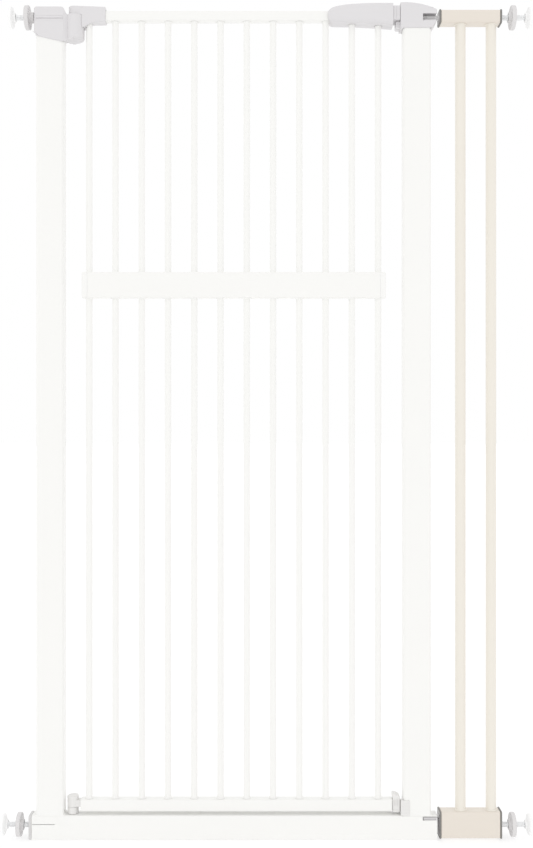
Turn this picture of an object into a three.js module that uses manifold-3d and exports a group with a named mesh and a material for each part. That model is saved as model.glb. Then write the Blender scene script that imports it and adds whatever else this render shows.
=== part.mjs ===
// Extra-tall walk-through safety gate, pressure mounted between two walls, with an extension panel on
// its right side. Millimetres. +X to the right, +Y away from the viewer, +Z up, floor at Z = 0, and
// X = 0 halfway between the two outermost wall pads.
import * as THREE from 'three';
import { mergeVertices } from 'three/addons/utils/BufferGeometryUtils.js';
import Module from 'manifold-3d';

const wasm = await Module();
wasm.setup();

// ---------------------------------------------------------------- driving dimensions
const GAP = 0.3; // clearance between neighbouring pieces
const OVERALL_WIDTH = 956; // wall to wall, over the outermost pads
const WALL = 1.5; // square tube wall
const ROUND_WALL = 1; // round bar wall
const SHELL = 2.4; // moulded housing wall
const CURVE_STEPS = 3; // straight stretches in each rounded corner
const ARC_STEPS = 10; // straight stretches in each hinge knuckle's round end

// U-shaped frame
const FRAME_DEPTH = 30;
const UPRIGHT_WIDTH = 50;
const PASSAGE_LEFT = -364; // inner face of the left upright
const PASSAGE_WIDTH = 609.5;
const PASSAGE_RIGHT = PASSAGE_LEFT + PASSAGE_WIDTH;
const LEFT_EDGE = PASSAGE_LEFT - UPRIGHT_WIDTH;
const RIGHT_EDGE = PASSAGE_RIGHT + UPRIGHT_WIDTH;
const RAIL_HEIGHT = 44;
const RAIL_LEFT = LEFT_EDGE - 7.7;
const RAIL_RIGHT = RIGHT_EDGE + 11.2;
const TUBE_CORNER = 6;
const LEFT_UPRIGHT_TOP = 1466;
const RIGHT_UPRIGHT_TOP = 1467.4;

// Wall adjusters
const TOP_AXIS_Z = 1481;
const BOTTOM_AXIS_Z = 23.5;
const SPINDLE_RADIUS = 5;
const SPINDLE_BORE = 5.7;
const NUT_RADIUS = 21.5;
const PAD_RADIUS = 19.2;
const PAD_THICKNESS = 11.5;
const PAD_SOCKET_DEPTH = 6;
const PAD_SOCKET_RADIUS = SPINDLE_RADIUS + 0.35;

// Hinge line
const HINGE_X = -346;
const PIN_RADIUS = 4;
const PIN_BORE = 4.2;
const UPPER_PIN = { bottom: 1453, top: 1497 };
const LOWER_PIN = { bottom: RAIL_HEIGHT + 2.4, top: 74 };
const ARM_TOP = 1483;
const ARM_BOTTOM = 1438;
const HOUSING_TOP = 1496;
const HOUSING_LEFT = LEFT_EDGE - 3;
const HOUSING_HALF = 17;
const SHROUD_HALF = 11;
const SHROUD_RIGHT = -290;
const SHROUD_BOTTOM = 1470.5;
const SHROUD_GUSSET = { right: -316, bottom: 1461 };
const BARREL_X = HINGE_X - 3.5; // the bottom hinge's mouldings sit off centre, towards the upright
const SLEEVE = { bottom: 57, collar: 72.5, top: 77.5, radius: 9.8, collarRadius: 10.3, half: 7.8 };

// Door
const DOOR_BARS = 12;
const BAR_RADIUS = 5.8;
const FIRST_BAR_X = -320.2;
const BAR_PITCH = 47.44;
const LAST_BAR_X = FIRST_BAR_X + (DOOR_BARS - 1) * BAR_PITCH;
const TOP_RAIL = { bottom: 1473, height: 18, half: 9 };
const MID_RAIL = { bottom: 974, height: 46.6, half: 10, left: -332.7, right: 214.9, cap: 9.7 };
const LOW_RAIL = { bottom: 49.7, height: 21.6, half: 10, left: -334.5, right: 226 };
const BAR_BOTTOM = LOW_RAIL.bottom + LOW_RAIL.height + GAP;
const BAR_TOP = TOP_RAIL.bottom - GAP;
const RAIL_SPIGOT = 14; // how far a plug reaches into its tube

// Handle and catch
const HANDLE = { left: 110, right: 227.3, top: 1503.5, half: 18 };
const RELEASE_TRAVEL = 8;
const TONGUE = { left: 208.5, right: 240.2, bottom: 1472.4, top: 1492, half: 8, headTop: 1498, headHalf: 15 };
const LOCK_BAR = { left: 172, right: 240, bottom: 1492.4, top: 1497.4, half: 5 };
const BUTTON = { left: 173, right: 201, top: 1503.2, half: 6 };
const SPRING_STOP = 142; // face of the rib that the release spring pushes against
const CATCH = { left: 232, right: 306, top: 1503.6, bottom: 1457.7, half: 17 };
const CATCH_SEAT = RIGHT_UPRIGHT_TOP + GAP;
const NOTCH_RIGHT = 241; // door side of the catch body
const NOTCH_FLOOR = 1472;
const PIN_SLOT = { left: 280.5, bottom: 1470.4, top: 1486, back: 5.2 };

// Extension panel
const EXT_LEFT = 314;
const EXT_RIGHT = 419.8;
const EXT_HALF = 14;
const EXT_TOP = { bottom: 1468, top: 1491.7, corner: 5 };
const EXT_LOW = { bottom: 2.7, top: 50.4, corner: 4 };
const EXT_BAR_RADIUS = 9.4;
const EXT_BAR_X = [350.3, 405.6];
const EXT_RIM = 1; // how far the end caps stand proud of the tubes
const EXT_CAP_THICKNESS = 3.7;
const EXT_PIN = { left: 281.5, topRadius: 4, lowRadius: 3.2, lowZ: 38.8 };

// ---------------------------------------------------------------- materials
const plain = (color, roughness, metalness = 0) =>
  new THREE.MeshStandardMaterial({ color, roughness, metalness });
const powderWhite = () => plain(0xf6f5f2, 0.45);
const paleGrey = () => plain(0xe0dde0, 0.5);
const midGrey = () => plain(0xcfcdcf, 0.5);
const darkGrey = () => plain(0x6e6c6a, 0.55);
const powderBeige = () => plain(0xe6e1d6, 0.5);
const whiteRubber = () => plain(0xf4f4f2, 0.8);
const zinc = () => plain(0xd9dadc, 0.3, 0.9);

// ---------------------------------------------------------------- shape helpers
const V2 = (x, y) => new THREE.Vector2(x, y);

function box(x0, x1, y0, y1, z0, z1) {
  const geometry = new THREE.BoxGeometry(x1 - x0, y1 - y0, z1 - z0);
  return geometry.translate((x0 + x1) / 2, (y0 + y1) / 2, (z0 + z1) / 2);
}

// Closed outline from corners given as [x, y, corner radius].
function outline(corners) {
  const shape = new THREE.Shape();
  corners.forEach(([x, y, r], i) => {
    const corner = V2(x, y);
    const [px, py] = corners.at(i - 1);
    const [nx, ny] = corners[(i + 1) % corners.length];
    const enter = V2(px, py).sub(corner).setLength(r).add(corner);
    const leave = V2(nx, ny).sub(corner).setLength(r).add(corner);
    if (i === 0) shape.moveTo(enter.x, enter.y);
    else shape.lineTo(enter.x, enter.y);
    if (r > 0) shape.quadraticCurveTo(x, y, leave.x, leave.y);
  });
  shape.closePath();
  return shape;
}

function rectangle(x0, x1, y0, y1, r) {
  return outline([[x0, y0, r], [x1, y0, r], [x1, y1, r], [x0, y1, r]]);
}

// Anticlockwise points of an outline, with none repeated at the end.
function pointsOf(shape) {
  const points = shape.getPoints(CURVE_STEPS);
  if (points[0].distanceTo(points.at(-1)) < 1e-6) points.pop();
  if (THREE.ShapeUtils.isClockWise(points)) points.reverse();
  return points;
}

// The same points with every side moved inwards by a distance.
function moveInwards(points, distance) {
  return points.map((p, i) => {
    const into = p.clone().sub(points.at(i - 1)).normalize();
    const out = points[(i + 1) % points.length].clone().sub(p).normalize();
    const inward = V2(-into.y - out.y, into.x + out.x).normalize();
    const spread = Math.max(0.4, inward.dot(V2(-into.y, into.x)));
    return p.clone().addScaledVector(inward, distance / spread);
  });
}

function extrude(shape, depth, curveSegments) {
  return new THREE.ExtrudeGeometry(shape, { depth, bevelEnabled: false, curveSegments });
}

// Outline in X and Y, raised along Z.
function extrudeZ(shape, z0, z1, curveSegments = CURVE_STEPS) {
  return extrude(shape, z1 - z0, curveSegments).translate(0, 0, z0);
}

// Outline in Y and Z, run along X.
function extrudeX(shape, x0, x1) {
  const turn = new THREE.Matrix4().makeBasis(
    new THREE.Vector3(0, 1, 0),
    new THREE.Vector3(0, 0, 1),
    new THREE.Vector3(1, 0, 0),
  );
  return extrude(shape, x1 - x0, CURVE_STEPS).applyMatrix4(turn).translate(x0, 0, 0);
}

// Rings of points in X and Z, all with the base's point count, joined from front to back and closed.
function loft(base, rings) {
  const positions = rings.flatMap(({ ring, y }) => ring.flatMap((p) => [p.x, y, p.y]));
  const count = base.length;
  const last = (rings.length - 1) * count;
  const faces = THREE.ShapeUtils.triangulateShape(base, []);
  const index = faces.flatMap(([a, b, c]) => [a, b, c, last + c, last + b, last + a]);
  for (let k = 0; k < rings.length - 1; k += 1) {
    for (let i = 0; i < count; i += 1) {
      const here = k * count + i;
      const next = k * count + ((i + 1) % count);
      index.push(here, here + count, next + count, here, next + count, next);
    }
  }
  const geometry = new THREE.BufferGeometry();
  geometry.setAttribute('position', new THREE.Float32BufferAttribute(positions, 3));
  geometry.setIndex(index);
  return geometry;
}

// Outline in X and Z as a slab centred on Y = 0, its front and back edges rounded over.
function softSlab(shape, half, edge) {
  const base = pointsOf(shape);
  const steps = 3;
  const front = [];
  for (let k = 0; k <= steps; k += 1) {
    const turn = (k / steps) * (Math.PI / 2);
    const ring = moveInwards(base, edge * (1 - Math.sin(turn)));
    front.push({ ring, y: edge * (1 - Math.cos(turn)) - half });
  }
  return loft(base, [...front, ...front.map(({ ring, y }) => ({ ring, y: -y })).reverse()]);
}

// The space inside a moulding of the given outline, wall and half depth.
function insideOf(shape, wall, half) {
  const base = pointsOf(shape);
  const ring = moveInwards(base, wall);
  return loft(base, [{ ring, y: wall - half }, { ring, y: half - wall }]);
}

function hollowShape(shape, wall) {
  shape.holes.push(new THREE.Path(moveInwards(pointsOf(shape), wall)));
  return shape;
}

function cylinderZ(x, y, radius, z0, z1, sides = 16) {
  const geometry = new THREE.CylinderGeometry(radius, radius, z1 - z0, sides);
  return geometry.rotateX(Math.PI / 2).translate(x, y, (z0 + z1) / 2);
}

function cylinderX(z, radius, x0, x1, sides = 16) {
  const geometry = new THREE.CylinderGeometry(radius, radius, x1 - x0, sides);
  return geometry.rotateZ(Math.PI / 2).translate((x0 + x1) / 2, 0, z);
}

// Profile of [distance along the axis, radius] turned round the X axis.
function turnX(profile, sides) {
  const points = profile.map(([along, radius]) => V2(radius, along));
  return new THREE.LatheGeometry(points, sides).rotateZ(-Math.PI / 2);
}

// ---------------------------------------------------------------- joining and cutting
function solid(geometry) {
  const bare = geometry.clone();
  bare.deleteAttribute('normal');
  bare.deleteAttribute('uv');
  const merged = mergeVertices(bare, 1e-3);
  return new wasm.Manifold(new wasm.Mesh({
    numProp: 3,
    vertProperties: new Float32Array(merged.attributes.position.array),
    triVerts: new Uint32Array(merged.index.array),
  }));
}

function geometryOf(manifold) {
  const mesh = manifold.getMesh();
  const geometry = new THREE.BufferGeometry();
  geometry.setAttribute('position', new THREE.BufferAttribute(mesh.vertProperties, 3));
  geometry.setIndex(new THREE.BufferAttribute(mesh.triVerts, 1));
  return geometry;
}

function cut(geometry, ...tools) {
  return geometryOf(tools.reduce((body, tool) => body.subtract(solid(tool)), solid(geometry)));
}

function join(geometry, ...others) {
  return geometryOf(others.reduce((body, other) => body.add(solid(other)), solid(geometry)));
}

function common(geometry, other) {
  return geometryOf(solid(geometry).intersect(solid(other)));
}

const BIG = 4000; // reaches past everything

function roundTube(radius, z0, z1, sides) {
  const bore = cylinderZ(0, 0, radius - ROUND_WALL, z0 - 1, z1 + 1, sides);
  return cut(cylinderZ(0, 0, radius, z0, z1, sides), bore);
}

const frontHalf = (geometry) => common(geometry, box(-BIG, BIG, -BIG, -GAP / 2, -BIG, BIG));
const rearHalf = (geometry) => common(geometry, box(-BIG, BIG, GAP / 2, BIG, -BIG, BIG));

function piece(parent, name, geometry, material) {
  const mesh = new THREE.Mesh(geometry, material);
  mesh.name = name;
  parent.add(mesh);
  return mesh;
}

// Plan outline of a hinge knuckle: a round end about the hinge line, running straight to one side.
function knucklePlan(radius, farX) {
  const shape = new THREE.Shape();
  const side = farX > HINGE_X ? 1 : -1;
  const quarter = (side * Math.PI) / 2;
  shape.moveTo(farX, -side * radius);
  shape.lineTo(farX, side * radius);
  shape.absarc(HINGE_X, 0, radius, quarter, -quarter);
  shape.closePath();
  return shape;
}

// A knuckle plan as a solid column that reaches past everything above and below.
function knuckleColumn(radius, farX) {
  return extrudeZ(knucklePlan(radius, farX), -BIG, BIG, ARC_STEPS);
}

// ---------------------------------------------------------------- U frame
function upright(left, top) {
  const half = FRAME_DEPTH / 2;
  const section = hollowShape(rectangle(left, left + UPRIGHT_WIDTH, -half, half, TUBE_CORNER), WALL);
  return extrudeZ(section, RAIL_HEIGHT + GAP, top);
}

const LOW_PIN_SLOT = { left: 280.5, bottom: 35, top: 42.6, back: 4.4 };
const SEAM = { bottom: 27.8, top: 28.8, right: PASSAGE_LEFT - 16 };
const PLUG_HALF = FRAME_DEPTH / 2 - WALL - GAP - 1;

function bottomRail() {
  const half = FRAME_DEPTH / 2;
  const section = hollowShape(rectangle(-half, half, 0, RAIL_HEIGHT, 3), WALL);
  const frontWall = (x0, x1, { bottom, top }) => box(x0, x1, -half - 1, -half + WALL + 1, bottom, top);
  const window = frontWall(LOW_PIN_SLOT.left, BIG, LOW_PIN_SLOT);
  const seam = frontWall(RAIL_LEFT + 1, SEAM.right, SEAM);
  return cut(extrudeX(section, RAIL_LEFT, RAIL_RIGHT), window, seam);
}

// Moulded plug in the left end of the bottom rail, bored for the wall spindle.
function bottomRailCap() {
  const half = FRAME_DEPTH / 2;
  const face = RAIL_LEFT - GAP;
  const flange = extrudeX(rectangle(-half, half, 0, RAIL_HEIGHT, 4), face - 5.2, face);
  const spigot = box(face - 0.7, RAIL_LEFT + 16, -PLUG_HALF, PLUG_HALF, 3, RAIL_HEIGHT - 3);
  return cut(join(flange, spigot), cylinderX(BOTTOM_AXIS_Z, SPINDLE_BORE, -BIG, BIG));
}

// Moulded plug in the right end of the bottom rail; its open-fronted channel takes the extension's pin.
function bottomRailSocket() {
  const slot = LOW_PIN_SLOT;
  const block = box(slot.left - 6, RAIL_RIGHT - GAP, -PLUG_HALF, PLUG_HALF, 3, RAIL_HEIGHT - 2.3);
  return cut(block, box(slot.left, BIG, -BIG, slot.back, slot.bottom, slot.top));
}

// Hinge housing on top of the left upright, with the arm that carries the upper pin.
function hingeHousing() {
  const armRight = HINGE_X + HOUSING_HALF + 1;
  const shape = outline([
    [HOUSING_LEFT, HOUSING_TOP, 4], [PASSAGE_LEFT - 1, HOUSING_TOP, 4], [PASSAGE_LEFT + 3.9, ARM_TOP, 1],
    [armRight, ARM_TOP, 0], [armRight, ARM_BOTTOM, 4], [PASSAGE_LEFT + 6, ARM_BOTTOM, 3],
    [PASSAGE_LEFT - 1, 1432.3, 4], [LEFT_EDGE + 3, 1443, 4], [HOUSING_LEFT, 1449, 3],
  ]);
  const outer = common(softSlab(shape, HOUSING_HALF, 2.5), knuckleColumn(HOUSING_HALF + 0.4, -BIG));
  const knuckle = cylinderZ(HINGE_X, 0, 9, -BIG, BIG);
  const spindleBoss = box(-BIG, PASSAGE_LEFT - 2, -9, 9, TOP_AXIS_Z - 9, TOP_AXIS_Z + 9);
  const inside = cut(insideOf(shape, SHELL, HOUSING_HALF), knuckle, spindleBoss);
  const cavity = common(inside, knuckleColumn(HOUSING_HALF - SHELL + 0.4, -BIG));
  const pocketHalf = FRAME_DEPTH / 2 + GAP;
  const pocketTop = LEFT_UPRIGHT_TOP + GAP;
  const pocket = box(LEFT_EDGE - GAP, PASSAGE_LEFT + GAP, -pocketHalf, pocketHalf, -BIG, pocketTop);
  const groove = box(-BIG, PASSAGE_LEFT - 1, -BIG, 1.2 - HOUSING_HALF, 1469.5, 1479.5);
  const spindleBore = cylinderX(TOP_AXIS_Z, SPINDLE_BORE, -BIG, PASSAGE_LEFT - 6);
  const pinBore = cylinderZ(HINGE_X, 0, PIN_BORE, UPPER_PIN.bottom - 1, BIG);
  return cut(outer, cavity, pocket, groove, spindleBore, pinBore);
}

function bottomHingeSocket() {
  const body = cylinderZ(BARREL_X, 0, SLEEVE.radius, RAIL_HEIGHT + GAP, SLEEVE.bottom - 1, 24);
  return cut(body, cylinderZ(HINGE_X, 0, PIN_BORE, LOWER_PIN.bottom - 0.4, BIG));
}

// Catch on top of the right upright: a notch for the door's tongue on the left, a socket on the right.
function catchBody() {
  const shape = outline([
    [CATCH.left, CATCH.bottom + 1, 2.2], [RIGHT_EDGE + 2, CATCH.bottom, 2], [CATCH.right, 1471, 2.4],
    [CATCH.right, 1491.5, 2.4], [297, 1494.5, 3],
    [291, 1497.2, 4], [277, 1500.9, 6], [258, CATCH.top, 8], [NOTCH_RIGHT, CATCH.top, 2],
    [NOTCH_RIGHT, NOTCH_FLOOR, 0.6], [CATCH.left, NOTCH_FLOOR, 2.2],
  ]);
  const outer = softSlab(shape, CATCH.half, 1.4);
  const inside = insideOf(shape, SHELL, CATCH.half);
  const slot = PIN_SLOT;
  const slotBlock = box(slot.left - SHELL, BIG, -BIG, BIG, slot.bottom - SHELL, slot.top + SHELL);
  const noseBlock = box(-BIG, NOTCH_RIGHT + 4, -BIG, BIG, -BIG, BIG);
  const floorBlock = box(-BIG, BIG, -BIG, BIG, -BIG, CATCH_SEAT + SHELL);
  const cavity = cut(inside, slotBlock, noseBlock, floorBlock);
  const pocketHalf = FRAME_DEPTH / 2 + GAP;
  const pocket = box(PASSAGE_RIGHT - GAP, RIGHT_EDGE + GAP, -pocketHalf, pocketHalf, -BIG, CATCH_SEAT);
  const spigotLeft = PASSAGE_RIGHT + WALL + GAP;
  const spigotRight = RIGHT_EDGE - WALL - GAP;
  const spigotHalf = FRAME_DEPTH / 2 - WALL - GAP;
  const section = rectangle(spigotLeft, spigotRight, -spigotHalf, spigotHalf, TUBE_CORNER - WALL);
  const hollowSection = new THREE.Shape(moveInwards(pointsOf(section), SHELL));
  const spigot = extrudeZ(section, RIGHT_UPRIGHT_TOP - 27.4, CATCH_SEAT + 1);
  const hollow = extrudeZ(hollowSection, -BIG, CATCH_SEAT + 1.3);
  const opening = box(spigotLeft + 4, slot.left - 4, -9.5, 9.5, CATCH_SEAT, CATCH_SEAT + SHELL + 1);
  const pinSlot = box(slot.left, BIG, -BIG, slot.back, slot.bottom, slot.top);
  return cut(join(cut(outer, cavity, pocket), spigot), hollow, opening, pinSlot);
}

// Bracket round the inner edge of the right upright, beside the door's foot.
function latchBracket() {
  const pocketHalf = FRAME_DEPTH / 2 + GAP;
  const outer = box(NOTCH_RIGHT, NOTCH_RIGHT + 16, -HOUSING_HALF, HOUSING_HALF, RAIL_HEIGHT + GAP, 72);
  return cut(outer, box(PASSAGE_RIGHT - GAP, BIG, -pocketHalf, pocketHalf, -BIG, BIG));
}

function buildFrame(parent) {
  piece(parent, 'left_upright', upright(LEFT_EDGE, LEFT_UPRIGHT_TOP), powderWhite());
  piece(parent, 'right_upright', upright(PASSAGE_RIGHT, RIGHT_UPRIGHT_TOP), powderWhite());
  piece(parent, 'bottom_rail', bottomRail(), powderWhite());
  piece(parent, 'bottom_rail_cap', bottomRailCap(), midGrey());
  piece(parent, 'bottom_rail_socket', bottomRailSocket(), paleGrey());
  const housing = hingeHousing();
  piece(parent, 'hinge_housing_front', frontHalf(housing), paleGrey());
  piece(parent, 'hinge_housing_rear', rearHalf(housing), paleGrey());
  piece(parent, 'bottom_hinge_socket', bottomHingeSocket(), paleGrey());
  const strike = catchBody();
  piece(parent, 'catch_front', frontHalf(strike), paleGrey());
  piece(parent, 'catch_rear', rearHalf(strike), paleGrey());
  piece(parent, 'latch_bracket', latchBracket(), paleGrey());
}

// ---------------------------------------------------------------- hinge pins
function buildPins(parent) {
  const pin = ({ bottom, top }) => cylinderZ(HINGE_X, 0, PIN_RADIUS, bottom, top);
  piece(parent, 'upper_hinge_pin', pin(UPPER_PIN), zinc());
  piece(parent, 'lower_hinge_pin', pin(LOWER_PIN), zinc());
}

// ---------------------------------------------------------------- door
const RAIL_CORNER = 2.5;

function railOutline({ bottom, height, half }) {
  return rectangle(-half, half, bottom, bottom + height, RAIL_CORNER);
}

function railTube(rail, x0, x1) {
  return extrudeX(hollowShape(railOutline(rail), WALL), x0, x1);
}

function barHoles() {
  const holes = [];
  for (let i = 0; i < DOOR_BARS; i += 1) {
    holes.push(cylinderZ(FIRST_BAR_X + i * BAR_PITCH, 0, BAR_RADIUS + 0.8, -BIG, BIG, 8));
  }
  return holes;
}

function midCap(side) {
  const { bottom, height, half, left, right, cap } = MID_RAIL;
  const wall = 1.8;
  const from = side < 0 ? left : right - cap;
  const barX = side < 0 ? FIRST_BAR_X : LAST_BAR_X;
  const solidEnd = barX + side * (BAR_RADIUS + 1);
  const reach = [solidEnd, solidEnd - side * 20].sort((a, b) => a - b);
  const hollow = box(...reach, wall - half, half - wall, bottom + wall, bottom + height - wall);
  return cut(extrudeX(railOutline(MID_RAIL), from, from + cap), hollow, ...barHoles());
}

// Space for the top rail between two X positions.
function topRailSpace(x0, x1) {
  const { bottom, height, half } = TOP_RAIL;
  return box(x0, x1, -half - GAP, half + GAP, bottom - GAP, bottom + height + GAP);
}

// Space for the upper end of a bar.
function barSpace(x) {
  return cylinderZ(x, 0, BAR_RADIUS + 0.4, -BIG, TOP_RAIL.bottom);
}

function hingeShroud() {
  const left = HINGE_X - SHROUD_HALF;
  const step = HINGE_X + HOUSING_HALF + 1;
  const shape = outline([
    [left, 1500, 1.5], [SHROUD_RIGHT - 1, 1497.3, 2], [SHROUD_RIGHT + 0.5, SHROUD_BOTTOM, 1],
    [SHROUD_GUSSET.right, SHROUD_BOTTOM, 1], [step, SHROUD_GUSSET.bottom, 0.5],
    [step, ARM_TOP + 1, 0], [left, ARM_TOP + 1, 0],
  ]);
  const body = common(softSlab(shape, SHROUD_HALF, 1.2), knuckleColumn(SHROUD_HALF + 0.3, BIG));
  const pinBore = cylinderZ(HINGE_X, 0, PIN_BORE, -BIG, UPPER_PIN.top + 0.5);
  return cut(body, topRailSpace(FIRST_BAR_X - BAR_RADIUS - 1, BIG), pinBore, barSpace(FIRST_BAR_X));
}

// Moulded sleeve that turns and lifts on the lower pin, with a spigot in the end of the bottom rail.
function bottomHingeSleeve() {
  const { bottom, collar, top, radius, collarRadius, half } = SLEEVE;
  const barrel = cylinderZ(BARREL_X, 0, radius, bottom, collar, 24);
  const head = cylinderZ(BARREL_X, 0, collarRadius, collar, top, 24);
  const railTop = LOW_RAIL.bottom + LOW_RAIL.height;
  const spigot = box(HINGE_X, LOW_RAIL.left + RAIL_SPIGOT, -half, half, bottom + 0.5, railTop - WALL - 0.8);
  return cut(join(barrel, head, spigot), cylinderZ(HINGE_X, 0, PIN_BORE, 0, LOWER_PIN.top + 0.5));
}

function doorFoot() {
  const shape = outline([
    [LOW_RAIL.right + GAP, 48.5, 2], [NOTCH_RIGHT - 1, 48.5, 2], [NOTCH_RIGHT - 1, 76, 2],
    [LOW_RAIL.right + 6, 82, 2], [LOW_RAIL.right + GAP, 80, 1.5],
  ]);
  return softSlab(shape, 10, 1.2);
}

// Side view of the handle cover: a soft lozenge, blunt where it meets the catch.
function handleShape() {
  const shape = new THREE.Shape();
  shape.moveTo(HANDLE.right, 1463.5);
  shape.lineTo(HANDLE.right, HANDLE.top - 1.5);
  shape.quadraticCurveTo(HANDLE.right, HANDLE.top, HANDLE.right - 1.5, HANDLE.top);
  shape.lineTo(195, HANDLE.top);
  const crown = [V2(167, 1502.5), V2(140, 1500.2), V2(124, 1497.2), V2(114, 1492.6)];
  shape.splineThru([...crown, V2(HANDLE.left, 1485)]);
  shape.lineTo(HANDLE.left, 1477);
  shape.quadraticCurveTo(HANDLE.left, 1468.6, 119, 1468.4);
  shape.quadraticCurveTo(180, 1468, HANDLE.right, 1463.5);
  return shape;
}

// Cover round the end of the top rail, open beneath where the bars rise into it.
function handleCover() {
  const shape = handleShape();
  const outer = softSlab(shape, HANDLE.half, 3.5);
  const cavityHalf = HANDLE.half - SHELL;
  const ribBottom = TOP_RAIL.bottom + TOP_RAIL.height + 2 * GAP;
  const rib = box(SPRING_STOP - 2, SPRING_STOP, -BIG, BIG, ribBottom, BIG);
  const cavity = cut(insideOf(shape, SHELL, HANDLE.half), rib);
  const below = box(HANDLE.left + 5, HANDLE.right - SHELL, -cavityHalf, cavityHalf, -BIG, 1478);
  const railHole = topRailSpace(HANDLE.left - 5, HANDLE.left + 20);
  const noseHalf = TONGUE.half + GAP;
  const noseHole = box(HANDLE.right - 10, BIG, -noseHalf, noseHalf, TONGUE.bottom - GAP, LOCK_BAR.top + GAP);
  const slotHalf = BUTTON.half + 0.4;
  const slotLeft = BUTTON.left - RELEASE_TRAVEL - 1;
  const buttonSlot = box(slotLeft, BUTTON.right + 1, -slotHalf, slotHalf, 1494, BIG);
  const neighbour = barSpace(LAST_BAR_X - 2 * BAR_PITCH);
  return cut(outer, cavity, below, railHole, noseHole, buttonSlot, neighbour);
}

// Tongue that closes into the catch's notch: a shank inside the handle and a deeper head outside it.
function latchTongue() {
  const { left, right, bottom, top, half, headTop, headHalf } = TONGUE;
  const shank = box(left, right, -half, half, bottom, top);
  const head = box(HANDLE.right + GAP, right, -headHalf, headHalf, bottom, headTop);
  const channelHalf = LOCK_BAR.half + GAP;
  return cut(join(shank, head), box(-BIG, BIG, -channelHalf, channelHalf, top, BIG));
}

class Helix extends THREE.Curve {
  constructor(radius, turns, length) {
    super();
    Object.assign(this, { radius, turns, length });
  }

  getPoint(t) {
    const angle = 2 * Math.PI * this.turns * t;
    return new THREE.Vector3(this.length * t, this.radius * Math.cos(angle), this.radius * Math.sin(angle));
  }
}

function releaseSpring() {
  const wire = 0.45;
  const section = new THREE.Shape();
  section.absarc(0, 0, wire, 0, 2 * Math.PI);
  const space = LOCK_BAR.left - SPRING_STOP;
  const path = new Helix(1.9, 7, space - 2 * wire - 2 * GAP);
  const coil = new THREE.ExtrudeGeometry(section, { extrudePath: path, steps: 63, curveSegments: 3 });
  return coil.translate(SPRING_STOP + wire + GAP, 0, (LOCK_BAR.bottom + LOCK_BAR.top) / 2);
}

function buildDoor(parent) {
  const bar = roundTube(BAR_RADIUS, BAR_BOTTOM, BAR_TOP, 12);
  for (let i = 0; i < DOOR_BARS; i += 1) {
    const name = `door_bar_${String(i + 1).padStart(2, '0')}`;
    const mesh = piece(parent, name, bar, powderWhite());
    mesh.position.x = FIRST_BAR_X + i * BAR_PITCH;
  }
  const topTube = railTube(TOP_RAIL, FIRST_BAR_X - BAR_RADIUS - 0.7, TONGUE.left - GAP);
  const capReach = MID_RAIL.cap + GAP;
  const midTube = railTube(MID_RAIL, MID_RAIL.left + capReach, MID_RAIL.right - capReach);
  piece(parent, 'door_top_rail', topTube, powderWhite());
  piece(parent, 'door_mid_rail', cut(midTube, ...barHoles()), powderWhite());
  piece(parent, 'door_mid_rail_cap_left', midCap(-1), powderWhite());
  piece(parent, 'door_mid_rail_cap_right', midCap(1), powderWhite());
  piece(parent, 'door_bottom_rail', railTube(LOW_RAIL, LOW_RAIL.left, LOW_RAIL.right), powderWhite());
  piece(parent, 'hinge_shroud', hingeShroud(), paleGrey());
  piece(parent, 'bottom_hinge_sleeve', bottomHingeSleeve(), paleGrey());
  piece(parent, 'door_foot', doorFoot(), paleGrey());
  const cover = handleCover();
  piece(parent, 'handle_front', frontHalf(cover), paleGrey());
  piece(parent, 'handle_rear', rearHalf(cover), paleGrey());
  piece(parent, 'latch_tongue', latchTongue(), midGrey());
  piece(parent, 'release_spring', releaseSpring(), zinc());
}

// Slide button on top of the handle, and the bar that it draws out of the catch.
function buildRelease(parent) {
  const block = ({ left, right, half, bottom, top }) => box(left, right, -half, half, bottom, top);
  piece(parent, 'release_button', block({ ...BUTTON, bottom: LOCK_BAR.top + GAP }), midGrey());
  piece(parent, 'lock_bar', block(LOCK_BAR), zinc());
}

// ---------------------------------------------------------------- extension panel
function extensionTube({ bottom, top, corner }) {
  const section = hollowShape(rectangle(-EXT_HALF, EXT_HALF, bottom, top, corner), WALL);
  return extrudeX(section, EXT_LEFT, EXT_RIGHT);
}

// End moulding of an extension tube: a rim that stands proud, and a spigot inside the tube.
function extensionCap({ bottom, top, corner }, side) {
  const face = side < 0 ? EXT_LEFT - GAP : EXT_RIGHT + GAP;
  const between = (a, b) => [a, b].sort((one, other) => one - other);
  // The tube's outline, grown on every side.
  const grown = (by) => rectangle(-EXT_HALF - by, EXT_HALF + by, bottom - by, top + by, corner);
  const rim = extrudeX(grown(EXT_RIM), ...between(face, face + side * EXT_CAP_THICKNESS));
  const spigot = extrudeX(grown(-WALL - 0.7), ...between(face, face - side * RAIL_SPIGOT));
  return join(rim, spigot);
}

function extensionPlug(tube, z, radius) {
  return join(extensionCap(tube, -1), cylinderX(z, radius, EXT_PIN.left, EXT_LEFT));
}

function extensionSocket(tube, z) {
  return cut(extensionCap(tube, 1), cylinderX(z, SPINDLE_BORE, 0, BIG));
}

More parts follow.
